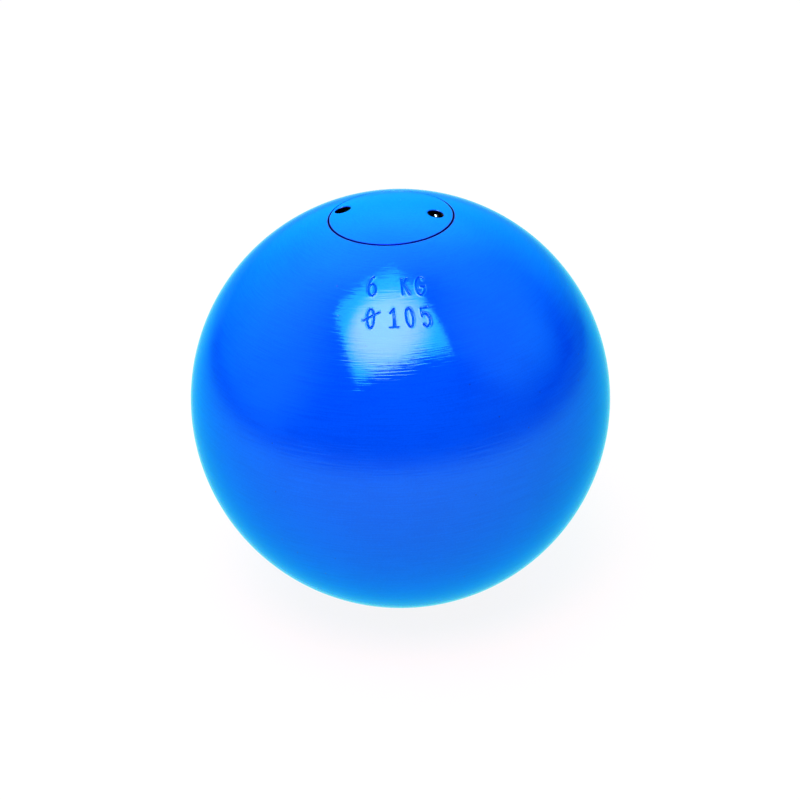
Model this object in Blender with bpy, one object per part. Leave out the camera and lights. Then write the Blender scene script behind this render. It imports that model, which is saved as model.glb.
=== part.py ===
# Competition shot, 6 kg: a turned steel ball with a lead filling, closed by a screwed plug.
# Metres, +Z up. The origin is the ball's centre, and +Z is the plug's axis, pointing out of the ball.
# Every cross-section here is a list of (distance from the plug's axis, height) points.

from math import asin, cos, pi, radians, sin, sqrt, tan

import bmesh
import bpy

MM = 0.001

# The ball
BALL_RADIUS = 52.5 * MM
WALL_THICKNESS = 7.3 * MM

# The gap left between pieces that touch on the real object
SEAT_GAP = 0.3 * MM

# The plug: a head flush with the ball on a shoulder, and a threaded shank under it
HEAD_RADIUS = 15.0 * MM
HEAD_SIDE_HEIGHT = 4.8 * MM
HEAD_SIDE_GAP = 0.28 * MM
SHOULDER_WIDTH = 3.0 * MM
SHANK_LENGTH = 11.0 * MM
SHANK_END_CHAMFER = 1.3 * MM

# The thread, right-hand, 60 degree flanks
THREAD_PITCH = 2.0 * MM
THREAD_DEPTH = 1.2 * MM
THREAD_CREST_WIDTH = 0.25 * MM
THREAD_CLEARANCE = 0.3 * MM
FLANK_ANGLE = radians(30.0)

# The boss inside the ball, through which the filling hole is tapped. It tapers as a casting does.
BOSS_PAST_SHANK = 3.5 * MM
BOSS_WALL = 6.0 * MM
BOSS_TAPER = 2.0 * MM

# Two blind holes in the plug's head for a pin spanner, drilled by hand a little off centre
SPANNER_HOLE_RADIUS = 1.95 * MM
SPANNER_HOLE_INSET = 3.47 * MM
SPANNER_HOLE_DEPTH = 3.8 * MM
SPANNER_LINE_ANGLE = radians(-14.2)
SPANNER_PAIR_OFFSET = (-0.42 * MM, 1.38 * MM)

# The packing disc, held in a recess in the plug's underside and standing out of it
RECESS_LIP = 2.2 * MM
RECESS_DEPTH = 3.0 * MM
PACKING_THICKNESS = 4.2 * MM
PACKING_CHAMFER = 0.4 * MM

# The lead trim discs, top to bottom. They are small enough to go in through the thread.
TRIM_DISC_SLACK = 1.4 * MM
TRIM_DISC_THICKNESSES = (0.5 * MM, 1.0 * MM, 2.0 * MM, 4.0 * MM)
TRIM_DISC_CHAMFER = 0.1 * MM

# Facets
BALL_SEGMENTS = 64
BALL_RING_ANGLE = radians(5.6)
CAVITY_RING_ANGLE = radians(9.0)
THREAD_SEGMENTS = 36
HEAD_RING_ANGLE = radians(2.8)
HOLE_SEGMENTS = 20
DISC_SEGMENTS = 40
MERGE_DISTANCE = 0.001 * MM

# Materials: base colour, roughness, metallic
BLUE_PAINT = ((0.0, 0.13, 0.85), 0.35, 0.0)
PLUG_PAINT = ((0.0, 0.17, 0.9), 0.35, 0.0)
CAST_LEAD = ((0.3, 0.31, 0.33), 0.5, 1.0)
SHEET_LEAD = ((0.4, 0.41, 0.43), 0.4, 1.0)
HARD_RUBBER = ((0.02, 0.02, 0.022), 0.7, 0.0)

# Radii worked out from the sizes above
CAVITY_RADIUS = BALL_RADIUS - WALL_THICKNESS
THREAD_RADIUS = HEAD_RADIUS - SHOULDER_WIDTH
THREAD_CORE_RADIUS = THREAD_RADIUS - THREAD_DEPTH
BOSS_RADIUS_AT_END = THREAD_RADIUS + BOSS_WALL
BOSS_RADIUS_AT_WALL = BOSS_RADIUS_AT_END + BOSS_TAPER
RECESS_RADIUS = THREAD_RADIUS - SHANK_END_CHAMFER - RECESS_LIP
PACKING_RADIUS = RECESS_RADIUS - SEAT_GAP
TRIM_DISC_RADIUS = THREAD_CORE_RADIUS - TRIM_DISC_SLACK
TRIM_POCKET_RADIUS = TRIM_DISC_RADIUS + SEAT_GAP

# Heights worked out from the sizes above
HEAD_RIM_HEIGHT = sqrt(BALL_RADIUS**2 - HEAD_RADIUS**2)
HEAD_UNDERSIDE = HEAD_RIM_HEIGHT - HEAD_SIDE_HEIGHT
SHOULDER_HEIGHT = HEAD_UNDERSIDE - SEAT_GAP
SHANK_END = HEAD_UNDERSIDE - SHANK_LENGTH
BOSS_END = SHANK_END - BOSS_PAST_SHANK
PACKING_TOP = SHANK_END + RECESS_DEPTH - SEAT_GAP
PACKING_BOTTOM = PACKING_TOP - PACKING_THICKNESS
TRIM_STACK_HEIGHT = sum(TRIM_DISC_THICKNESSES) + SEAT_GAP * len(TRIM_DISC_THICKNESSES)
TRIM_POCKET_FLOOR = PACKING_BOTTOM - SEAT_GAP - TRIM_STACK_HEIGHT


def clear_scene():
    for thing in list(bpy.data.objects):
        bpy.data.objects.remove(thing, do_unlink=True)


def make_material(name, look):
    colour, roughness, metallic = look
    material = bpy.data.materials.new(name)
    material.use_nodes = True
    shader = material.node_tree.nodes["Principled BSDF"]
    shader.inputs["Base Color"].default_value = (*colour, 1.0)
    shader.inputs["Roughness"].default_value = roughness
    shader.inputs["Metallic"].default_value = metallic
    material.diffuse_color = (*colour, 1.0)
    return material


def link_mesh(name, mesh, material=None):
    thing = bpy.data.objects.new(name, mesh)
    if material:
        mesh.materials.append(material)
    bpy.context.scene.collection.objects.link(thing)
    return thing


def height_on_sphere(sphere_radius, distance):
    return sqrt(sphere_radius**2 - distance**2)


def sphere_arc(sphere_radius, start_angle, end_angle, ring_angle):
    """Points on a meridian between two angles measured from the top pole, both ends included."""
    steps = max(1, round(abs(end_angle - start_angle) / ring_angle))
    points = []
    for i in range(steps + 1):
        angle = start_angle + (end_angle - start_angle) * i / steps
        distance = sphere_radius * sin(angle)
        if distance < MERGE_DISTANCE:
            distance = 0.0
        points.append((distance, sphere_radius * cos(angle)))
    return points


def turned(name, outline, segments, material=None):
    """A body of revolution. The outline runs from the axis back to the axis, down its outer side."""
    mesh = bpy.data.meshes.new(name)
    points = [(distance, 0.0, height) for distance, height in outline]
    mesh.from_pydata(points, [(i, i + 1) for i in range(len(points) - 1)], [])
    thing = link_mesh(name, mesh, material)
    turn = thing.modifiers.new("Turn", "SCREW")
    turn.steps = segments
    turn.render_steps = segments
    turn.use_merge_vertices = True
    turn.merge_threshold = MERGE_DISTANCE
    turn.use_smooth_shade = True
    return thing


def disc(name, radius, bottom, thickness, chamfer, material):
    top = bottom + thickness
    outline = [
        (0.0, top),
        (radius - chamfer, top),
        (radius, top - chamfer),
        (radius, bottom + chamfer),
        (radius - chamfer, bottom),
        (0.0, bottom),
    ]
    return turned(name, outline, DISC_SEGMENTS, material)


def screw_rod(name, bottom, top, growth):
    """A threaded rod along Z. The growth is added to its radius, to make a hole with clearance."""
    flank_height = THREAD_DEPTH * tan(FLANK_ANGLE)
    root_width = THREAD_PITCH - THREAD_CREST_WIDTH - 2 * flank_height
    crest = THREAD_RADIUS + growth
    root = THREAD_CORE_RADIUS + growth
    one_pitch = [
        (root, 0.0),
        (root, root_width),
        (crest, root_width + flank_height),
        (crest, root_width + flank_height + THREAD_CREST_WIDTH),
    ]
    first_turn = int(bottom / THREAD_PITCH) - 1
    last_turn = int(top / THREAD_PITCH) + 1
    rows = [
        (radius, (turn + height / THREAD_PITCH) * THREAD_PITCH)
        for turn in range(first_turn, last_turn)
        for radius, height in one_pitch
    ]
    rows.append((root, last_turn * THREAD_PITCH))
    per_turn = len(one_pitch)

    shape = bmesh.new()
    grid = []
    for radius, height in rows:
        ring = []
        for step in range(THREAD_SEGMENTS):
            angle = 2 * pi * step / THREAD_SEGMENTS
            climb = THREAD_PITCH * step / THREAD_SEGMENTS
            ring.append(shape.verts.new((radius * cos(angle), radius * sin(angle), height + climb)))
        grid.append(ring)

    def corner(row, step):
        """The grid point, where a full turn on leads to the row one pitch higher."""
        if step < THREAD_SEGMENTS:
            return grid[row][step]
        return grid[row + per_turn][0]

    for row in range(len(rows) - 1):
        last_step = THREAD_SEGMENTS if row + 1 + per_turn < len(rows) else THREAD_SEGMENTS - 1
        for step in range(last_step):
            lower = (corner(row, step), corner(row, step + 1))
            upper = (corner(row + 1, step + 1), corner(row + 1, step))
            shape.faces.new(lower + upper)

    top_row = len(rows) - 1
    bottom_edge = [grid[0][step] for step in range(THREAD_SEGMENTS)]
    bottom_edge += [grid[row][0] for row in range(per_turn, 0, -1)]
    top_edge = [grid[top_row][step] for step in range(THREAD_SEGMENTS)]
    top_edge += [grid[row][THREAD_SEGMENTS - 1] for row in range(top_row - 1, top_row - per_turn - 1, -1)]
    for edge, height in ((bottom_edge, rows[0][1]), (top_edge, rows[-1][1] + THREAD_PITCH)):
        middle = shape.verts.new((0.0, 0.0, height))
        for i, vertex in enumerate(edge):
            shape.faces.new((vertex, edge[(i + 1) % len(edge)], middle))
    bmesh.ops.recalc_face_normals(shape, faces=shape.faces)
    mesh = bpy.data.meshes.new(name)
    shape.to_mesh(mesh)
    shape.free()
    return link_mesh(name, mesh)


def spanner_hole_centres():
    along_x = cos(SPANNER_LINE_ANGLE)
    along_y = sin(SPANNER_LINE_ANGLE)
    reach = HEAD_RADIUS - SPANNER_HOLE_INSET
    shift_x, shift_y = SPANNER_PAIR_OFFSET
    return [(shift_x + side * reach * along_x, shift_y + side * reach * along_y) for side in (-1, 1)]


def spanner_hole_cutter(name, centre):
    """A drill's path from outside the ball to the hole's flat floor."""
    x, y = centre
    mouth = height_on_sphere(BALL_RADIUS, sqrt(x * x + y * y))
    floor = mouth - SPANNER_HOLE_DEPTH
    length = BALL_RADIUS + SPANNER_HOLE_DEPTH - floor
    shape = bmesh.new()
    bmesh.ops.create_cone(
        shape,
        cap_ends=True,
        segments=HOLE_SEGMENTS,
        radius1=SPANNER_HOLE_RADIUS,
        radius2=SPANNER_HOLE_RADIUS,
        depth=length,
    )
    mesh = bpy.data.meshes.new(name)
    shape.to_mesh(mesh)
    shape.free()
    cutter = link_mesh(name, mesh)
    cutter.location = (x, y, floor + length / 2)
    return cutter


def apply_shape(thing, operation, other):
    """Adds a Boolean with a helper shape, which the model itself doesn't show."""
    other.hide_render = True
    other.display_type = "WIRE"
    step = thing.modifiers.new(other.name, "BOOLEAN")
    step.operation = operation
    step.object = other


def make_shell(material):
    mouth_radius = HEAD_RADIUS + HEAD_SIDE_GAP
    hole_radius = THREAD_RADIUS + THREAD_CLEARANCE
    drilled_radius = THREAD_CORE_RADIUS
    inner = sphere_arc(CAVITY_RADIUS, pi, asin(BOSS_RADIUS_AT_WALL / CAVITY_RADIUS), CAVITY_RING_ANGLE)
    boss = [
        (BOSS_RADIUS_AT_END, BOSS_END),
        (drilled_radius, BOSS_END),
        (drilled_radius, SHOULDER_HEIGHT - (hole_radius - drilled_radius)),
        (hole_radius, SHOULDER_HEIGHT),
        (mouth_radius, SHOULDER_HEIGHT),
    ]
    outer = sphere_arc(BALL_RADIUS, asin(mouth_radius / BALL_RADIUS), pi, BALL_RING_ANGLE)
    shell = turned("shell", inner + boss + outer, BALL_SEGMENTS, material)
    tap = screw_rod("tap_shape", BOSS_END - THREAD_PITCH, SHOULDER_HEIGHT + THREAD_PITCH, THREAD_CLEARANCE)
    apply_shape(shell, "DIFFERENCE", tap)
    return shell


def make_plug(material):
    plug = screw_rod("plug", SHANK_END - THREAD_PITCH, HEAD_UNDERSIDE + THREAD_PITCH, 0.0)
    plug.data.materials.append(material)
    inside_head = HEAD_UNDERSIDE + SEAT_GAP
    blank_radius = THREAD_RADIUS + SEAT_GAP
    blank = turned(
        "shank_blank",
        [
            (0.0, inside_head),
            (blank_radius, inside_head),
            (blank_radius, SHANK_END + SHANK_END_CHAMFER + SEAT_GAP),
            (THREAD_RADIUS - SHANK_END_CHAMFER, SHANK_END),
            (0.0, SHANK_END),
        ],
        BALL_SEGMENTS,
    )
    apply_shape(plug, "INTERSECT", blank)
    dome = sphere_arc(BALL_RADIUS, 0.0, asin(HEAD_RADIUS / BALL_RADIUS), HEAD_RING_ANGLE)
    head = turned(
        "head_shape",
        [*dome, (HEAD_RADIUS, HEAD_UNDERSIDE), (0.0, HEAD_UNDERSIDE)],
        BALL_SEGMENTS,
    )
    apply_shape(plug, "UNION", head)
    recess = turned(
        "recess_shape",
        [
            (0.0, SHANK_END + RECESS_DEPTH),
            (RECESS_RADIUS, SHANK_END + RECESS_DEPTH),
            (RECESS_RADIUS, SHANK_END - THREAD_PITCH),
            (0.0, SHANK_END - THREAD_PITCH),
        ],
        DISC_SEGMENTS,
    )
    apply_shape(plug, "DIFFERENCE", recess)
    for side, centre in zip(("left", "right"), spanner_hole_centres()):
        apply_shape(plug, "DIFFERENCE", spanner_hole_cutter(side + "_hole_shape", centre))
    return plug


def make_lead_core(material):
    radius = CAVITY_RADIUS - SEAT_GAP
    level = BOSS_END - SEAT_GAP
    beside_boss_root = BOSS_RADIUS_AT_WALL + SEAT_GAP
    top = [
        (0.0, TRIM_POCKET_FLOOR),
        (TRIM_POCKET_RADIUS, TRIM_POCKET_FLOOR),
        (TRIM_POCKET_RADIUS, level),
        (BOSS_RADIUS_AT_END + SEAT_GAP, level),
    ]
    outer = sphere_arc(radius, asin(beside_boss_root / radius), pi, CAVITY_RING_ANGLE)
    return turned("lead_core", top + outer, BALL_SEGMENTS, material)


def make_trim_discs(material):
    top = PACKING_BOTTOM - SEAT_GAP
    for number, thickness in enumerate(TRIM_DISC_THICKNESSES, start=1):
        name = f"trim_disc_{number}"
        disc(name, TRIM_DISC_RADIUS, top - thickness, thickness, TRIM_DISC_CHAMFER, material)
        top -= thickness + SEAT_GAP


def make_packing_disc(material):
    bottom = PACKING_TOP - PACKING_THICKNESS
    return disc("packing_disc", PACKING_RADIUS, bottom, PACKING_THICKNESS, PACKING_CHAMFER, material)


clear_scene()
make_shell(make_material("blue_paint", BLUE_PAINT))
make_lead_core(make_material("cast_lead", CAST_LEAD))
make_trim_discs(make_material("sheet_lead", SHEET_LEAD))
make_packing_disc(make_material("hard_rubber", HARD_RUBBER))
make_plug(make_material("plug_paint", PLUG_PAINT))
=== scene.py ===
import math

import bmesh
import bpy
from mathutils import Matrix, Quaternion, Vector
from mathutils.geometry import delaunay_2d_cdt


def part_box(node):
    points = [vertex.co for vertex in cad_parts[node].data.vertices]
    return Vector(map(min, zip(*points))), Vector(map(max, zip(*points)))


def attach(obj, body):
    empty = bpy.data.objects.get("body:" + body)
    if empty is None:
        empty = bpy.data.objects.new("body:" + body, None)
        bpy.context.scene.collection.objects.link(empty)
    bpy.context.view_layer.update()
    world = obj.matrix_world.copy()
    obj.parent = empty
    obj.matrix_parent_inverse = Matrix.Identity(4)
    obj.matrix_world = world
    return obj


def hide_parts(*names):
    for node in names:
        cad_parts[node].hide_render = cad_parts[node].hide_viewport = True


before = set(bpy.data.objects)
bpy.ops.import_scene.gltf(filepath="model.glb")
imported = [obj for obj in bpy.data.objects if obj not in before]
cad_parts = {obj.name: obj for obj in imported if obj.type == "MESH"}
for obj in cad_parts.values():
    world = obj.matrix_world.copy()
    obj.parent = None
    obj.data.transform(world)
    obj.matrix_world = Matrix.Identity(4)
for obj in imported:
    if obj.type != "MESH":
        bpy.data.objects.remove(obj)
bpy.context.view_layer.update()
mm = 0.001
scene = bpy.context.scene


def say(text):
    print("shot:", text)


# Node helpers, for shaders and for Geometry Nodes alike


def mathNode(tree, operation, *values):
    node = tree.nodes.new("ShaderNodeMath")
    node.operation = operation
    for slot, value in zip(node.inputs, values):
        connect(tree, slot, value)
    return Wire(node.outputs[0])


def connect(tree, slot, value):
    if isinstance(value, Wire):
        tree.links.new(value.socket, slot)
    elif hasattr(value, "__len__") and len(value) == 3 and len(slot.default_value) == 4:
        slot.default_value = (*value, 1.0)
    else:
        slot.default_value = value


def findSocket(sockets, key):
    if isinstance(key, int):
        return sockets[key]
    return next(s for s in sockets if s.enabled and s.name == key)


class Wire:  # one output socket; sums of wires and numbers add Math nodes
    def __init__(self, socket):
        self.socket = socket

    def calc(self, operation, *others):
        return mathNode(self.socket.id_data, operation, self, *others)

    def __add__(self, other):
        return self.calc("ADD", other)

    __radd__ = __add__

    def __sub__(self, other):
        return self.calc("SUBTRACT", other)

    def __rsub__(self, other):
        return mathNode(self.socket.id_data, "SUBTRACT", other, self)

    def __mul__(self, other):
        return self.calc("MULTIPLY", other)

    __rmul__ = __mul__

    def __truediv__(self, other):
        return self.calc("DIVIDE", other)


class Nodes:  # adds nodes to one tree
    def __init__(self, tree):
        self.tree = tree

    def add(self, kind, settings=None, values=None, out=0):
        node = self.tree.nodes.new(kind)
        for key, value in (settings or {}).items():
            setattr(node, key, value)
        for key, value in (values or {}).items():
            connect(self.tree, findSocket(node.inputs, key), value)
        return Wire(findSocket(node.outputs, out))

    def smooth(self, value, low, high):  # 0 below low, 1 above high, eased between
        return self.add("ShaderNodeMapRange", {"interpolation_type": "SMOOTHSTEP"},
                        {"Value": value, "From Min": low, "From Max": high})

    def mix(self, amount, a, b):  # two colours
        return self.add("ShaderNodeMix", {"data_type": "RGBA"},
                        {"Factor": amount, "A": a, "B": b}, "Result")

    def vector(self, x, y, z):
        return self.add("ShaderNodeCombineXYZ", values={0: x, 1: y, 2: z})

    def axes(self, vector):
        parts = self.add("ShaderNodeSeparateXYZ", values={0: vector}).socket.node
        return [Wire(socket) for socket in parts.outputs]

    def scaled(self, vector, factor):
        return self.add("ShaderNodeVectorMath", {"operation": "SCALE"},
                        {"Vector": vector, "Scale": factor})

    def length(self, vector):
        return self.add("ShaderNodeVectorMath", {"operation": "LENGTH"}, {0: vector}, "Value")

    def noise(self, place, scale, detail=2.0, rough=0.5):
        return self.add("ShaderNodeTexNoise", None,
                        {"Vector": place, "Scale": scale, "Detail": detail, "Roughness": rough}, "Fac")


class Finish(Nodes):  # a material whose places are in millimetres
    def __init__(self, name):
        self.material = bpy.data.materials.new(name)
        self.material.use_nodes = True
        super().__init__(self.material.node_tree)
        self.shader = self.tree.nodes["Principled BSDF"]
        self.place = self.scaled(self.add("ShaderNodeTexCoord", out="Object"), 1 / mm)

    def set(self, values):
        for key, value in values.items():
            connect(self.tree, self.shader.inputs[key], value)

    def bump(self, height):  # height in millimetres
        bumped = self.add("ShaderNodeBump", None, {"Distance": mm, "Height": height}, "Normal")
        self.set({"Normal": bumped})

    def roundTheAxis(self):  # unit direction and distance from the plug's axis
        x, y, z = self.axes(self.place)
        away = (x * x + y * y + 0.01).calc("SQRT")
        return x / away, y / away, away, z


# Sizes that every piece shares

ballRadius = -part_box("shell")[0].z
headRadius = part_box("plug")[1].x
mouthRadius = math.sqrt(ballRadius**2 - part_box("shell")[1].z ** 2)
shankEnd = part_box("plug")[0].z
headSide = 4.8 * mm  # height of the head's side
seatGap = 0.3 * mm
headUnderside = math.sqrt(ballRadius**2 - headRadius**2) - headSide
shoulderHeight = headUnderside - seatGap
bossPastShank = 3.5 * mm
bossEnd = shankEnd - bossPastShank
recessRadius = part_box("packing_disc")[1].x + seatGap
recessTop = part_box("packing_disc")[1].z + seatGap

thread = {
    "radius": 12.0 * mm,
    "pitch": 2.0 * mm,
    "depth": 1.2 * mm,
    "crest": 0.25 * mm,
    "soften": 0.08 * mm,
    "clearance": 0.3 * mm,
    "chamfer": 1.3 * mm,
}

# Finishes

paint = {
    "thin": (0.0, 0.077, 0.9),
    "thick": (0.0, 0.061, 0.83),
    # colour of the joint's dirt and painted shade, which the pits take too
    "seamDirtAndShade": (0.0, 0.003, 0.45),
    # colour of the painted shade deep in the holes
    "shadow": (0.0, 0.001, 0.014),
    "roughness": 0.08,
    "roughnessSwing": 0.08,
    "coatRoughness": 0.1,
    "coatIor": 1.02,
    "coatTint": (0.2, 1.0, 1.0, 1.0),  # the blue lacquer takes the red out of what it mirrors
    # Turning lines and hairlines: how often they break on the way round, and how many cross a millimetre
    "lines": (5.0, 2.7),
    "hairs": (7.0, 4.5),
    "lineHeight": 0.031,
    "hairHeight": 0.003,
    "peelHeight": 0.004,
    "pitHeight": 0.02,
    "pitScale": 0.3,
    "pitEdge": (0.025, 0.06),
    "pitRarity": 0.75,
    "holeShade": (0.02, 0.35),  # how deep in a hole the painted shade starts and ends
    "seamDirtAndShadeWidth": (0.2, 0.4),  # where the joint's dirt and painted shade start and end, sideways from its middle
    "seamDirtAndShadeFade": (1.0, 9.0),  # the joint's dirt and painted shade fade between these places behind the axis
    "seamLean": 0.15,
}


def paintFinish(name, seed):
    look = Finish(name)
    east, north, away, z = look.roundTheAxis()
    arc = away.calc("ARCTAN2", z) * (ballRadius / mm)

    def turned(aside, down):  # streaks that run round the plug's axis
        return look.noise(look.vector(east * aside, north * aside, arc * down + seed), 1.0, 1.0, 0.6)

    lines, hairs = turned(*paint["lines"]), turned(*paint["hairs"])
    peel = look.noise(look.place, 0.9, 1.0)
    grain = look.noise(look.place, 2.4, 1.0)
    cloud = look.noise(look.place, 0.05, 2.0)
    pits = look.add("ShaderNodeTexVoronoi", None, {"Vector": look.place, "Scale": paint["pitScale"]})
    pitChance = look.axes(Wire(pits.socket.node.outputs["Color"]))[0]
    pit = (1 - look.smooth(pits, *paint["pitEdge"])) * pitChance.calc("GREATER_THAN", paint["pitRarity"])
    # Painted shade and dirt darken the joint round the plug, and painted shade darkens the holes towards
    # their bottom, where no light reaches
    seamDirtAndShade = (away - (headRadius + mouthRadius) / 2 / mm).calc("ABSOLUTE")
    seamDirtAndShade = (1 - look.smooth(seamDirtAndShade, *paint["seamDirtAndShadeWidth"])) * z.calc("GREATER_THAN", 0.0)
    backward = (north - east * paint["seamLean"]) * away
    seamDirtAndShade = seamDirtAndShade * (1 - look.smooth(backward, *paint["seamDirtAndShadeFade"]))
    sunkShade = ballRadius / mm - look.length(look.place)
    sunkShade = look.smooth(sunkShade, *paint["holeShade"]) * away.calc("LESS_THAN", mouthRadius / mm)
    # The joint's dirt and painted shade, the holes' painted shade and the pits darken the paint and take
    # its gloss away
    dark = (seamDirtAndShade + pit * 0.7 + sunkShade).calc("MINIMUM", 1.0)
    shade = lines * 0.35 + cloud * 0.35 + grain * 0.3
    body = look.mix(look.smooth(shade, 0.38, 0.62), paint["thick"], paint["thin"])
    look.set({
        "Base Color": look.mix(dark, body, look.mix(sunkShade, paint["seamDirtAndShade"], paint["shadow"])),
        "Roughness": (lines - 0.5) * paint["roughnessSwing"] + dark * 0.3 + paint["roughness"],
        "Metallic": dark,
        "Specular IOR Level": 1.0,
        "Coat Weight": 1 - dark,
        "Coat Roughness": paint["coatRoughness"],
        "Coat IOR": paint["coatIor"],
        "Coat Tint": paint["coatTint"],
    })
    fine = hairs * paint["hairHeight"] + peel * paint["peelHeight"]
    look.bump(lines * paint["lineHeight"] + fine - pit * paint["pitHeight"])
    return look.material


def steelFinish():
    look = Finish("turnedSteel")
    east, north, away, z = look.roundTheAxis()
    lines = look.noise(look.vector(east * 2.0, north * 2.0, (z + away) * 4.0), 1.0, 3.0, 0.6)
    oil = look.noise(look.place, 0.12, 3.0)
    look.set({
        "Base Color": look.mix(look.smooth(oil, 0.4, 0.62), (0.42, 0.42, 0.43), (0.2, 0.18, 0.15)),
        "Metallic": 1.0,
        "Roughness": lines * 0.2 + oil * 0.2 + 0.15,
    })
    look.bump(lines * 0.01)
    return look.material


def castLeadFinish():
    look = Finish("castLeadSkin")
    skin = look.noise(look.place, 0.25, 4.0, 0.6)
    grain = look.noise(look.place, 2.0, 2.0)
    look.set({
        "Base Color": look.mix(look.smooth(skin, 0.35, 0.7), (0.2, 0.21, 0.23), (0.38, 0.39, 0.42)),
        "Metallic": 0.9,
        "Roughness": skin * 0.3 + 0.35,
    })
    look.bump(skin * 0.15 + grain * 0.02)
    return look.material


def sheetLeadFinish():
    look = Finish("rolledLead")
    x, y, z = look.axes(look.place)
    rolled = look.noise(look.vector(x * 0.15, y * 3.0, z), 1.0, 3.0)
    bloom = look.noise(look.place, 0.3, 3.0)
    look.set({
        "Base Color": look.mix(look.smooth(bloom, 0.4, 0.65), (0.42, 0.43, 0.46), (0.25, 0.26, 0.28)),
        "Metallic": 0.9,
        "Roughness": bloom * 0.3 + 0.3,
    })
    look.bump(rolled * 0.01 + bloom * 0.02)
    return look.material


def rubberFinish():
    look = Finish("hardBlackRubber")
    dust = look.noise(look.place, 0.6, 4.0, 0.7)
    grain = look.noise(look.place, 6.0, 1.0)
    look.set({
        "Base Color": look.mix(look.smooth(dust, 0.5, 0.8), (0.016, 0.016, 0.017), (0.06, 0.058, 0.055)),
        "Roughness": dust * 0.3 + 0.5,
    })
    look.bump(grain * 0.01)
    return look.material


def beadFinish():
    look = Finish("brightBead")
    wear = look.noise(look.place, 3.0, 2.0)
    look.set({
        "Base Color": look.mix(wear, (0.6, 0.95, 0.98), (0.5, 0.85, 0.9)),
        "Metallic": 1.0,
        "Roughness": wear * 0.1 + 0.15,
    })
    look.bump(wear * 0.004)
    return look.material


ballPaint = paintFinish("blueEnamel", 0.0)
plugPaint = paintFinish("plugEnamel", 17.0)
turnedSteel = steelFinish()
brightBead = beadFinish()
say("finishes ready")

# Mesh helpers


def ring(radius, height, around):
    turns = [2 * math.pi * i / around for i in range(around)]
    return [Vector((radius * math.cos(a), radius * math.sin(a), height)) for a in turns]


def loft(bm, rings):  # faces between rings; a ring of one point closes an end
    rows = [[bm.verts.new(p) for p in points] for points in rings]
    for lower, upper in zip(rows, rows[1:]):
        count = max(len(lower), len(upper))
        for i in range(count):
            j = (i + 1) % count
            corners = [row[k % len(row)] for row, k in ((lower, i), (lower, j), (upper, j), (upper, i))]
            bm.faces.new(list(dict.fromkeys(corners)))


def curved(start, corner, end, steps):  # a rounded corner of a profile, both ends included
    points = []
    for i in range(steps + 1):
        t = i / steps
        a, b, c = (1 - t) ** 2, 2 * t * (1 - t), t * t
        points.append(tuple(a * p + b * q + c * r for p, q, r in zip(start, corner, end)))
    return points


def heightOnBall(distance):
    return math.sqrt(ballRadius**2 - distance**2)


def closeUp(bm):  # welds the parts of one skin and turns its faces outwards
    bmesh.ops.remove_doubles(bm, verts=bm.verts, dist=0.0004 * mm)
    bmesh.ops.dissolve_degenerate(bm, edges=bm.edges, dist=0.0001 * mm)
    bmesh.ops.recalc_face_normals(bm, faces=bm.faces)


def addPiece(name, bm, materials):
    mesh = bpy.data.meshes.new(name)
    closeUp(bm)
    bm.to_mesh(mesh)
    bm.free()
    for material in materials:
        mesh.materials.append(material)
    piece = bpy.data.objects.new(name, mesh)
    scene.collection.objects.link(piece)
    return piece


def shadeBall(mesh):  # smooth, with the ball's own normals wherever a face lies on it
    mesh.shade_smooth()
    mesh.set_sharp_from_angle(angle=math.radians(38))
    onBall = [abs(v.co.length - ballRadius) < 0.001 * mm for v in mesh.vertices]
    normals = []
    for polygon in mesh.polygons:
        flush = all(onBall[i] for i in polygon.vertices)
        for i in polygon.vertices:
            normals.append(mesh.vertices[i].co.normalized() if flush else Vector((0, 0, 0)))
    mesh.normals_split_custom_set(normals)


# Threads


def threadProfile():  # one pitch as (height, share of the depth), with its corners cut
    flank = thread["depth"] * math.tan(math.radians(30))
    root = thread["pitch"] - thread["crest"] - 2 * flank
    soften = thread["soften"]
    share = soften / thread["depth"]
    return [
        (soften, 0.0),
        (root - soften, 0.0),
        (root + soften / 2, share),
        (root + flank - soften / 2, 1 - share),
        (root + flank + soften, 1.0),
        (root + flank + thread["crest"] - soften, 1.0),
        (root + flank + thread["crest"] + soften / 2, 1 - share),
        (thread["pitch"] - soften / 2, share),
    ]


def threadRadius(angle, height, growth):
    pitch = thread["pitch"]
    along = (height - pitch * angle / (2 * math.pi)) % pitch
    profile = threadProfile()
    (first, firstShare), (last, lastShare) = profile[0], profile[-1]
    points = [(last - pitch, lastShare), *profile, (first + pitch, firstShare)]
    for (low, a), (high, b) in zip(points, points[1:]):
        if low <= along <= high:
            share = a + (b - a) * (along - low) / (high - low)
            return thread["radius"] + growth - thread["depth"] * (1 - share)
    return thread["radius"] + growth


def screwWall(bm, low, high, around, growth, limit):  # limit(radius, height) trims it at the ends
    pitch = thread["pitch"]
    rows = []
    for turn in range(int(low / pitch) - 2, int(high / pitch) + 2):
        rows += [turn * pitch + height for height, share in threadProfile()]
    grid = []
    for row in rows:
        line = []
        for i in range(around + 1):
            angle = 2 * math.pi * i / around
            height = min(max(row + pitch * i / around, low), high)
            radius = limit(threadRadius(angle, height, growth), height)
            line.append(Vector((radius * math.cos(angle), radius * math.sin(angle), height)))
        grid.append(line)
    for lower, upper in zip(grid, grid[1:]):
        for i in range(around):
            corners = [lower[i], lower[i + 1], upper[i + 1], upper[i]]
            heights = {c.z for c in corners}
            if heights != {low} and heights != {high}:
                bm.faces.new([bm.verts.new(c) for c in corners])


def screwEnd(height, around, growth, limit):
    points = []
    for i in range(around):
        angle = 2 * math.pi * i / around
        radius = limit(threadRadius(angle, height, growth), height)
        points.append(Vector((radius * math.cos(angle), radius * math.sin(angle), height)))
    return points


# The ball

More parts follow.
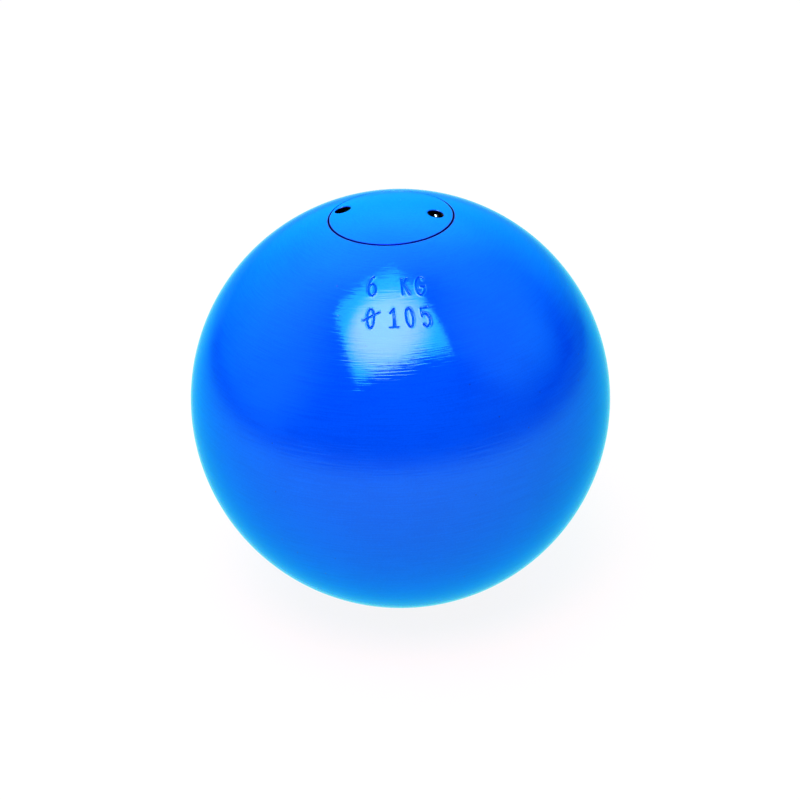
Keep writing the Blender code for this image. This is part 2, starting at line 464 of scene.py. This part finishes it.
ball = {
    "wall": 7.3 * mm,
    "bossRadius": 18.0 * mm,
    "bossTaper": 2.0 * mm,
    "bossEdge": 0.3 * mm,
    "around": 180,
    "edge": 0.16 * mm,
    "seatCorner": 0.15 * mm,
    "paintDepth": 1.1 * mm,
    # The marks' place, in degrees round the plug's axis and down from it, is cut finer than the rest
    "patchColumns": (-106.0, -74.0),
    "patchRows": (27.0, 43.5),
    "fine": 17,
    "rowStep": 1.5,
    "lowerRowStep": 1.875,
    "cavityRows": 27,
}


def onBall(down, round_):
    down, round_ = math.radians(down), math.radians(round_)
    flat = ballRadius * math.sin(down)
    return Vector((flat * math.cos(round_), flat * math.sin(round_), ballRadius * math.cos(down)))


def patchOnBall(bm, left, right, top, bottom, parts):  # parts for the top, right, bottom and left side
    corners = [(top, left), (top, right), (bottom, right), (bottom, left)]
    outline = []
    for (d0, r0), (d1, r1), count in zip(corners, corners[1:] + corners[:1], parts):
        for k in range(count):
            outline.append(onBall(d0 + (d1 - d0) * k / count, r0 + (r1 - r0) * k / count))
    if (outline[0] - outline[1]).length < 1e-9:
        outline.pop(0)
    if bottom == 180.0:
        outline.pop()
    bm.faces.new([bm.verts.new(p) for p in outline])


def ballOutside(bm, firstRow):
    columnStep = 360.0 / ball["around"]
    (patchLeft, patchRight), (patchTop, patchBottom) = ball["patchColumns"], ball["patchRows"]
    fine = ball["fine"]
    upper = max(1, round((patchTop - firstRow) / ball["rowStep"]))
    middle = round((patchBottom - patchTop) / ball["rowStep"])
    lower = round((180.0 - patchBottom) / ball["lowerRowStep"])
    rows = [firstRow + (patchTop - firstRow) * i / upper for i in range(upper)]
    rows += [patchTop + (patchBottom - patchTop) * i / middle for i in range(middle)]
    rows += [patchBottom + (180.0 - patchBottom) * i / lower for i in range(lower + 1)]
    for top, bottom in zip(rows, rows[1:]):
        beside = patchTop <= top < patchBottom
        for column in range(ball["around"]):
            left = column * columnStep - 180.0
            right = left + columnStep
            above = patchLeft <= left < patchRight
            if beside and above:
                for i in range(fine):
                    for j in range(fine):
                        x0, x1 = (left + columnStep * k / fine for k in (i, i + 1))
                        y0, y1 = (top + (bottom - top) * k / fine for k in (j, j + 1))
                        patchOnBall(bm, x0, x1, y0, y1, (1, 1, 1, 1))
                continue
            parts = (
                fine if above and top == patchBottom else 1,
                fine if beside and right == patchLeft else 1,
                fine if above and bottom == patchTop else 1,
                fine if beside and left == patchRight else 1,
            )
            patchOnBall(bm, left, right, top, bottom, parts)


def buildBallBlank():
    bm = bmesh.new()
    around = ball["around"]
    cavity = ballRadius - ball["wall"]
    bossRadius, bossEdge = ball["bossRadius"], ball["bossEdge"]
    bossRoot = bossRadius + ball["bossTaper"]
    growth = thread["clearance"]
    holeRadius = thread["radius"] + growth
    lastRow = math.asin(bossRoot / cavity)
    inner = []
    for i in range(ball["cavityRows"] + 1):
        down = math.pi + (lastRow - math.pi) * i / ball["cavityRows"]
        inner.append((cavity * math.sin(down), cavity * math.cos(down)))
    boss = [
        (bossRadius + bossEdge, bossEnd + 2 * bossEdge),
        *curved((bossRadius, bossEnd + bossEdge), (bossRadius, bossEnd),
                (bossRadius - bossEdge, bossEnd), 3),
    ]

    def limit(radius, height):  # countersunk at both ends
        return max(radius, holeRadius + bossEnd - height, holeRadius + height - shoulderHeight)

    rings = [[Vector((0, 0, -cavity))]]
    rings += [ring(radius, height, around) for radius, height in inner[1:] + boss]
    rings.append(screwEnd(bossEnd, around, growth, limit))
    loft(bm, rings)
    screwWall(bm, bossEnd, shoulderHeight, around, growth, limit)

    edge, seatCorner = ball["edge"], ball["seatCorner"]
    rim = heightOnBall(mouthRadius)
    firstRow = math.asin((mouthRadius + edge) / ballRadius)
    onSphere = (ballRadius * math.sin(firstRow), ballRadius * math.cos(firstRow))
    mouth = [
        *curved((mouthRadius - seatCorner, shoulderHeight), (mouthRadius, shoulderHeight),
                (mouthRadius, shoulderHeight + seatCorner), 3),
        (mouthRadius, rim - ball["paintDepth"]),
        *curved((mouthRadius, rim - edge), (mouthRadius, rim), onSphere, 5),
    ]
    rings = [screwEnd(shoulderHeight, around, growth, limit)]
    rings += [ring(radius, height, around) for radius, height in mouth]
    loft(bm, rings)
    ballOutside(bm, math.degrees(firstRow))
    return addPiece("ballSkin", bm, [])


blank = buildBallBlank()
say(f"ball blank has {len(blank.data.polygons)} faces")

# The marks: the mass and the diameter, punched and then painted over

marks = {
    "width": 0.02 * mm,
    "wall": 0.27 * mm,
    "depth": 0.25 * mm,
    "lip": 0.03 * mm,
    "lipPlace": (0.6, 1.2, 2.5),  # where it starts, stands highest and ends, in wall widths
}


def oval(x, y, width, height, start=0.0, end=360.0, steps=24):
    turns = [math.radians(start + (end - start) * i / steps) for i in range(steps + 1)]
    return [(x + width * math.cos(a), y + height * math.sin(a)) for a in turns]


# Each letter's strokes in millimetres about its middle
letters = {
    "six": [oval(0.0, -1.15, 0.86, 1.55), oval(0.86, -1.15, 1.72, 3.7, 180, 105, 12)],
    "kay": [[(0.13, 1.77), (-0.12, -2.3)], [(1.4, 1.9), (0.0, -0.2)], [(0.4, 0.35), (1.43, -2.55)]],
    "gee": [oval(0.0, 0.0, 1.05, 2.43, 50, 335, 24) + [(0.95, -0.1), (0.1, -0.1)]],
    "slashed": [oval(0.0, 0.0, 0.79, 2.4), [(-1.64, -0.4), (2.05, 1.5)]],
    "one": [
        [(-0.8, 1.2), (0.0, 2.25), (0.0, -2.4)],
        [(0.0, 2.25), (0.3, -2.4)],
        [(-0.9, -2.4), (0.95, -2.4)],
    ],
    "zero": [oval(0.08, 0.0, 0.79, 2.35)],
    "five": [[(1.45, 2.2), (0.0, 2.2), (-0.06, 0.35)], oval(0.52, -0.85, 0.92, 1.6, 135, -145, 18)],
}
# Where each one was struck: degrees down from the plug's axis, degrees round, and its lean
struck = [
    ("six", 30.4, -101.36, 7.0),
    ("kay", 30.65, -86.38, 3.0),
    ("gee", 31.33, -77.21, -10.0),
    ("slashed", 39.8, -100.19, 4.0),
    ("one", 39.59, -90.97, 0.0),
    ("zero", 39.82, -84.87, 3.0),
    ("five", 40.14, -79.43, 3.0),
]


def strokeLines():
    bm = bmesh.new()
    for letter, down, round_, lean in struck:
        middle = onBall(down, round_).normalized()
        right = Vector((0, 0, 1)).cross(middle).normalized()
        right.rotate(Quaternion(middle, math.radians(lean)))
        up = middle.cross(right)
        for stroke in letters[letter]:
            verts = []
            for x, y in stroke:
                spot = middle * ballRadius + (right * x + up * y) * mm
                verts.append(bm.verts.new(spot.normalized() * ballRadius))
            for a, b in zip(verts, verts[1:]):
                bm.edges.new((a, b))
    mesh = bpy.data.meshes.new("strokeLines")
    bm.to_mesh(mesh)
    bm.free()
    lines = bpy.data.objects.new("strokeLines", mesh)
    scene.collection.objects.link(lines)
    return lines


def newGroup(name, inputs):
    tree = bpy.data.node_groups.new(name, "GeometryNodeTree")
    tree.interface.new_socket(name="Geometry", in_out="INPUT", socket_type="NodeSocketGeometry")
    tree.interface.new_socket(name="Geometry", in_out="OUTPUT", socket_type="NodeSocketGeometry")
    keys = {label: tree.interface.new_socket(name=label, in_out="INPUT", socket_type=kind).identifier
            for label, kind in inputs.items()}
    given = tree.nodes.new("NodeGroupInput")
    wires = {socket.name: Wire(socket) for socket in given.outputs if socket.name}
    return Nodes(tree), keys, wires


def endGroup(grow, geometry):
    result = grow.tree.nodes.new("NodeGroupOutput")
    connect(grow.tree, result.inputs[0], geometry)


def growInto(host, grow, keys, values):  # the tree's result as the host's own plain mesh
    step = host.modifiers.new(grow.tree.name, "NODES")
    step.node_group = grow.tree
    for label, value in values.items():
        step[keys[label]] = value
    graph = bpy.context.evaluated_depsgraph_get()
    graph.update()
    mesh = bpy.data.meshes.new_from_object(
        host.evaluated_get(graph), preserve_all_data_layers=True, depsgraph=graph)
    host.modifiers.remove(step)
    old = host.data
    host.data = mesh
    bpy.data.meshes.remove(old)
    mesh.name = host.name


def pressMarks():
    grow, keys, given = newGroup("pressMarks", {
        "Strokes": "NodeSocketObject",
        "Stroke Width": "NodeSocketFloat",
        "Wall Width": "NodeSocketFloat",
        "Depth": "NodeSocketFloat",
        "Lip": "NodeSocketFloat",
        "Paint Reach": "NodeSocketFloat",
        "Paint": "NodeSocketMaterial",
        "Bare Metal": "NodeSocketMaterial",
    })
    lines = grow.add("GeometryNodeObjectInfo", None, {"Object": given["Strokes"]}, "Geometry")
    distance = grow.add("GeometryNodeProximity", {"target_element": "EDGES"},
                        {"Geometry": lines}, "Distance")
    place = grow.add("GeometryNodeInputPosition")
    fromCentre = grow.length(place)
    flat, wall = given["Stroke Width"] / 2, given["Wall Width"]
    groove = grow.add("ShaderNodeMapRange", None, {
        "Value": distance, "From Min": flat, "From Max": flat + wall, "To Min": 1.0, "To Max": 0.0})
    starts, highest, ends = (flat + wall * share for share in marks["lipPlace"])
    lip = grow.smooth(distance, starts, highest) * (1 - grow.smooth(distance, highest, ends))
    outward = grow.scaled(place, (lip * given["Lip"] - groove * given["Depth"]) / fromCentre)
    moved = grow.add("GeometryNodeSetPosition", None, {
        "Geometry": given["Geometry"],
        "Selection": fromCentre.calc("GREATER_THAN", ballRadius - 0.01 * mm),
        "Offset": outward,
    })
    whole = grow.add("GeometryNodeRealizeInstances", None, {"Geometry": moved})
    bare = grow.add("GeometryNodeSetMaterial", None,
                    {"Geometry": whole, "Material": given["Bare Metal"]})
    painted = grow.add("GeometryNodeSetMaterial", None, {
        "Geometry": bare,
        "Selection": fromCentre.calc("GREATER_THAN", given["Paint Reach"]),
        "Material": given["Paint"],
    })
    endGroup(grow, painted)
    strokes = strokeLines()
    growInto(blank, grow, keys, {
        "Strokes": strokes,
        "Stroke Width": marks["width"],
        "Wall Width": marks["wall"],
        "Depth": marks["depth"],
        "Lip": marks["lip"],
        "Paint Reach": ballRadius - ball["paintDepth"],
        "Paint": ballPaint,
        "Bare Metal": turnedSteel,
    })
    bpy.data.objects.remove(strokes)
    shadeBall(blank.data)
    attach(blank, "ball")
    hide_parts("shell")


pressMarks()
say("marks struck")

# The plug

plug = {
    "around": 144,
    "edge": 0.14 * mm,
    "headCorner": 0.25 * mm,
    "recessCorner": 0.3 * mm,
    "undercut": 1.2 * mm,
    "holes": {"left": (-11.598 * mm, 4.208 * mm), "right": (10.758 * mm, -1.448 * mm)},
    "holeRadius": 1.95 * mm,
    "holeDepth": 3.8 * mm,
    "holeEdge": 0.22 * mm,
    "holeEdgeRows": 5,
    "holeCorner": 0.3 * mm,
    "holeAround": 96,
    "holeRows": 26,
    "netStep": 0.5 * mm,
}
# A bead of bare metal on the wall of one hole, and the part of the hole that takes its finish
bead = {
    "hole": "right",
    "turn": 85.0,
    "down": 1.7 * mm,
    "radius": 0.65 * mm,
    "fromMiddle": (0.6, 0.985),
    "aboveUnderside": 2.6 * mm,
}


def plugDome(bm, outerRadius):
    # A net of points over the head, closed round the rim and round both holes
    outer = [p.xy for p in ring(outerRadius, 0.0, plug["around"])]
    edges = [(i, (i + 1) % len(outer)) for i in range(len(outer))]
    points = list(outer)
    holeReach = plug["holeRadius"] + plug["holeEdge"]
    for centre in plug["holes"].values():
        first = len(points)
        count = plug["holeAround"]
        points += [p.xy + Vector(centre) for p in ring(holeReach, 0.0, count)]
        edges += [(first + i, first + (i + 1) % count) for i in range(count)]
    step = plug["netStep"]
    reach = int(headRadius / step) + 2
    for row in range(-reach, reach):
        for column in range(-reach, reach):
            spot = Vector(((column + 0.5 * (row % 2)) * step, row * step * math.sqrt(0.75)))
            clear = min((spot - Vector(c)).length for c in plug["holes"].values()) - holeReach
            if clear > 0.5 * step and spot.length < outerRadius - 0.5 * step:
                points.append(spot)
    points = [p / mm for p in points]
    found, _, faces, *_ = delaunay_2d_cdt(points, edges, [], 0, 1e-6)
    verts = []
    for p in found:
        x, y = p.x * mm, p.y * mm
        verts.append(bm.verts.new((x, y, heightOnBall(math.hypot(x, y)))))
    for face in faces:
        middle = sum((found[i] for i in face), Vector((0, 0))) / len(face) * mm
        if all((middle - Vector(c)).length > holeReach * 0.98 for c in plug["holes"].values()):
            bm.faces.new([verts[i] for i in face])


def plugHole(bm, side):
    centre = Vector(plug["holes"][side])
    count, radius, edge = plug["holeAround"], plug["holeRadius"], plug["holeEdge"]
    floor = heightOnBall(centre.length) - plug["holeDepth"]
    corner = plug["holeCorner"]

    def around(reach, sink=None, height=None):  # a ring sunk below the dome, or at one height
        points = []
        for p in ring(reach, 0.0, count):
            x, y = p.x + centre.x, p.y + centre.y
            z = heightOnBall(math.hypot(x, y)) - sink if height is None else height
            points.append(Vector((x, y, z)))
        return points

    rings = []
    for i in range(plug["holeEdgeRows"] + 1):
        turn = math.radians(90 * i / plug["holeEdgeRows"])
        rings.append(around(radius + edge * (1 - math.sin(turn)), sink=edge * (1 - math.cos(turn))))
    wallTop = rings[-1]
    for i in range(1, plug["holeRows"]):
        share = i / plug["holeRows"]
        line = []
        for k, top in enumerate(wallTop):
            height = top.z + (floor + corner - top.z) * share
            push = 0.0
            if bead["hole"] == side:
                beside = math.radians(360 * k / count - bead["turn"]) * radius
                below = top.z - height - bead["down"]
                push = math.sqrt(max(0.0, bead["radius"] ** 2 - beside**2 - below**2))
            out = Vector((top.x, top.y, 0)) - centre.to_3d()
            spot = centre.to_3d() + out.normalized() * (radius - push)
            line.append(Vector((spot.x, spot.y, height)))
        rings.append(line)
    for reach, height in curved((radius, floor + corner), (radius, floor), (radius - corner, floor), 3):
        rings.append(around(reach, height=height))
    rings.append(around(radius * 0.5, height=floor))
    rings.append([Vector((centre.x, centre.y, floor))])
    loft(bm, rings)


def buildPlug():
    bm = bmesh.new()
    around, edge = plug["around"], plug["edge"]
    headCorner, corner = plug["headCorner"], plug["recessCorner"]
    domeRadius = headRadius - edge
    rim = heightOnBall(headRadius)
    plugDome(bm, domeRadius)
    for side in plug["holes"]:
        plugHole(bm, side)
    paintedTo = rim - ball["paintDepth"]
    side = [
        *curved((domeRadius, heightOnBall(domeRadius)), (headRadius, rim), (headRadius, rim - edge), 5),
        (headRadius, paintedTo),
        *curved((headRadius, headUnderside + headCorner), (headRadius, headUnderside),
                (headRadius - headCorner, headUnderside), 2),
    ]

    undercutEnd = headUnderside - plug["undercut"]

    def limit(radius, height):  # chamfered at the end, undercut below the head
        chamfered = thread["radius"] - thread["chamfer"] + height - shankEnd
        undercut = thread["radius"] - thread["depth"] + max(0.0, undercutEnd - height)
        return min(radius, chamfered, undercut)

    rings = [ring(radius, height, around) for radius, height in side]
    rings.append(screwEnd(headUnderside, around, 0.0, limit))
    loft(bm, rings)
    screwWall(bm, shankEnd, headUnderside, around, 0.0, limit)
    recess = [
        *curved((recessRadius + corner, shankEnd), (recessRadius, shankEnd),
                (recessRadius, shankEnd + corner), 3),
        *curved((recessRadius, recessTop - corner), (recessRadius, recessTop),
                (recessRadius - corner, recessTop), 3),
    ]
    rings = [screwEnd(shankEnd, around, 0.0, limit)]
    rings += [ring(radius, height, around) for radius, height in recess]
    rings.append([Vector((0, 0, recessTop))])
    loft(bm, rings)
    piece = addPiece("plugSkin", bm, [plugPaint, turnedSteel, brightBead])
    nearest, farthest = bead["fromMiddle"]
    for polygon in piece.data.polygons:
        centre = polygon.center
        fromHole = min((centre.xy - Vector(c)).length for c in plug["holes"].values())
        fromHole /= plug["holeRadius"]
        onBead = nearest < fromHole < farthest and centre.z > headUnderside + bead["aboveUnderside"]
        painted = centre.z > paintedTo or (fromHole < 1.2 and centre.z > headUnderside)
        polygon.material_index = 2 if onBead else 0 if painted else 1
    shadeBall(piece.data)
    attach(piece, "closing_plug")
    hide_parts("plug")
    return piece


plugSkin = buildPlug()
say(f"plug has {len(plugSkin.data.polygons)} faces")

# Inside: the lead, its trim discs and the packing disc keep their shapes


def dress(name, material):
    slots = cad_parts[name].data.materials
    slots.clear()
    slots.append(material)


dress("lead_core", castLeadFinish())
dress("packing_disc", rubberFinish())
rolledLead = sheetLeadFinish()
for number in range(1, 5):
    dress(f"trim_disc_{number}", rolledLead)
say("inner pieces dressed")

# The studio

studio = {
    "floorRings": (0.3, 1.0, 4.0),
    "white": 0.9,  # share of plain white that the camera sees; the rest keeps the shadow
    # What reflections see of the floor, near and far, and where it fades
    "mirroredWhite": (1.0, 0.2),
    "mirroredFades": (0.15, 0.68),
    # The paler sweep behind the ball, and the bearings between which it comes in
    "mirroredBehind": (0.65, 0.62, 0.82),
    # A softbox over the ball, warm and bright in its heart and dimmer towards its edges
    "softbox": {
        "centre": (-0.178, -0.247, 1.011),
        "side": (0.879, 0.468, 0.092),
        "facing": (-0.304, 0.698, -0.648),
        "size": (0.866, 1.225),
        # Places on the panel are in half sizes from its middle
        "cut": (-0.11, -0.91),  # slope and height of its lower edge
        "sideCut": (0.137, 0.976),  # the same for its right edge
        "cutSoftness": 0.02,
        "heart": (-0.02, -0.27),
        "glow": (3.4, 7.2),
        "glowReach": (1.23, 1.02),
        "glowFull": 0.26,
        "warm": (1.0, 19.0),
        "warmReach": (1.0, 0.76),
        "warmFull": 0.54,
    },
    "horizon": (-0.06, -0.03),  # the walls start just below the floor's edge
    "wallColour": (0.6, 1.0, 1.0, 1.0),
    # Pale walls: degrees round from the front, degrees up, full out to, faded at, brightness
    "walls": [
        (-180, 40, 5, 25, 0.09),
        (-180, 40, 5, 60, 0.54),
        (-180, 55, 5, 40, 0.40),
        (-150, 40, 5, 60, 0.60),
        (-105, 25, 5, 60, 0.27),
        (-90, 25, 5, 40, 0.29),
        (60, 12, 5, 25, 0.11),
        (90, 40, 5, 40, 0.6),
        (105, 25, 5, 25, 0.12),
        (165, 12, 5, 52, 0.58),
    ],
}


def hangSoftbox():
    box = studio["softbox"]
    data = bpy.data.lights.new("softbox", "AREA")
    data.shape = "RECTANGLE"
    data.size, data.size_y = box["size"]
    data.energy = math.pi * data.size * data.size_y
    data.use_nodes = True
    cloth = Nodes(data.node_tree)
    onPanel = cloth.axes(cloth.add("ShaderNodeNewGeometry", out="Parametric"))
    x, y = (place * 2 - 1 for place in onPanel[:2])

    def inside(place, limit):  # 1 below the limit and 0 above it
        return 1 - cloth.smooth(place, limit - box["cutSoftness"], limit + box["cutSoftness"])

    def fading(key):  # from the second value at the heart to the first at the edges
        reach = zip((x, y), box["heart"], box[key + "Reach"])
        east, north = ((place - middle) / far for place, middle, far in reach)
        away = (east * east + north * north).calc("SQRT")
        low, high = box[key]
        return (1 - cloth.smooth(away, box[key + "Full"], 1.0)) * (high - low) + low

    slope, height = box["cut"]
    sideSlope, width = box["sideCut"]
    lit = inside(x * slope - y, -height) * inside(x - y * sideSlope, width)
    glow, red = fading("glow") * lit, fading("warm") * lit
    colour = cloth.add("ShaderNodeCombineColor", None, {0: red, 1: glow, 2: glow})
    connect(data.node_tree, data.node_tree.nodes["Emission"].inputs["Color"], colour)
    lamp = bpy.data.objects.new("softbox", data)
    scene.collection.objects.link(lamp)
    back = -Vector(box["facing"]).normalized()
    across = Vector(box["side"])
    across = (across - back * across.dot(back)).normalized()
    turned = Matrix((across, back.cross(across), back)).transposed().to_4x4()
    lamp.matrix_world = Matrix.Translation(box["centre"]) @ turned


def buildFloor():
    bm = bmesh.new()
    low = -ballRadius
    loft(bm, [[Vector((0, 0, low))]] + [ring(radius, low, 64) for radius in studio["floorRings"]])
    floor = addPiece("floor", bm, [])
    look = Finish("paleFloor")
    grain = look.noise(look.place, 0.02, 3.0)
    look.set({
        "Base Color": look.mix(grain, (0.84, 0.84, 0.84), (0.88, 0.88, 0.88)),
        "Roughness": 0.8,
        "Specular IOR Level": 0.2,
    })
    rays = ("Camera", "Glossy", "Transmission")
    camera, glossy, transmission = (look.add("ShaderNodeLightPath", out=f"Is {ray} Ray") for ray in rays)
    away = look.length(look.place) * mm
    near, far = studio["mirroredWhite"]
    sweep, starts, full = studio["mirroredBehind"]
    behind = look.smooth(look.axes(look.place)[1] * mm / away, starts, full)
    beyond = behind * (sweep - far) + far
    mirrored = near + look.smooth(away, *studio["mirroredFades"]) * (beyond - near)
    share = camera * studio["white"] + glossy + transmission
    strength = camera * (1 - mirrored) + mirrored
    white = look.add("ShaderNodeEmission", None, {"Color": (1.0, 1.0, 1.0), "Strength": strength})
    mixed = look.add("ShaderNodeMixShader", None,
                     {0: share, 1: Wire(look.shader.outputs[0]), 2: white})
    connect(look.tree, look.tree.nodes["Material Output"].inputs["Surface"], mixed)
    floor.data.materials.append(look.material)


def buildRoom():
    world = bpy.data.worlds.new("softRoom")
    world.use_nodes = True
    scene.world = world
    room = Nodes(world.node_tree)
    toward = room.add("ShaderNodeTexCoord", out="Generated")
    up = room.axes(toward)[2]
    level = 0.0
    for round_, lift, full, faded, brightness in studio["walls"]:
        round_, lift, full, faded = (math.radians(angle) for angle in (round_, lift, full, faded))
        flat = math.cos(lift)
        middle = (math.sin(round_) * flat, -math.cos(round_) * flat, math.sin(lift))
        near = room.add("ShaderNodeVectorMath", {"operation": "DOT_PRODUCT"},
                        {0: toward, 1: middle}, "Value")
        level = room.smooth(near, math.cos(faded), math.cos(full)) * brightness + level
    seen = room.add("ShaderNodeLightPath", out="Is Camera Ray")
    background = world.node_tree.nodes["Background"]
    level = level * room.smooth(up, *studio["horizon"])
    connect(world.node_tree, background.inputs["Strength"], level * (1 - seen) + seen)
    connect(world.node_tree, background.inputs["Color"],
            room.mix(seen, studio["wallColour"], (1.0, 1.0, 1.0, 1.0)))


# Focal length and the ball's centre are in pixels of a square picture
view = {
    "distance": 12 * ballRadius,
    "elevation": 29.5,
    "roll": 3.0,
    "focal": 2509.0,
    "width": 800,
    "centre": (400.5, 398.4),
}


def buildCamera():
    data = bpy.data.cameras.new("camera")
    data.sensor_width = 36.0
    data.lens = view["focal"] / view["width"] * data.sensor_width
    data.shift_x = (view["width"] / 2 - view["centre"][0]) / view["width"]
    data.shift_y = (view["centre"][1] - view["width"] / 2) / view["width"]
    camera = bpy.data.objects.new("camera", data)
    scene.collection.objects.link(camera)
    lift = math.radians(view["elevation"])
    back = Vector((0, -math.cos(lift), math.sin(lift)))
    camera.location = back * view["distance"]
    camera.rotation_mode = "QUATERNION"
    roll = Quaternion((0, 0, 1), math.radians(-view["roll"]))
    camera.rotation_quaternion = (-back).to_track_quat("-Z", "Y") @ roll
    scene.camera = camera


buildFloor()
buildRoom()
hangSoftbox()
buildCamera()
scene.view_settings.view_transform = "Standard"
say("studio ready")
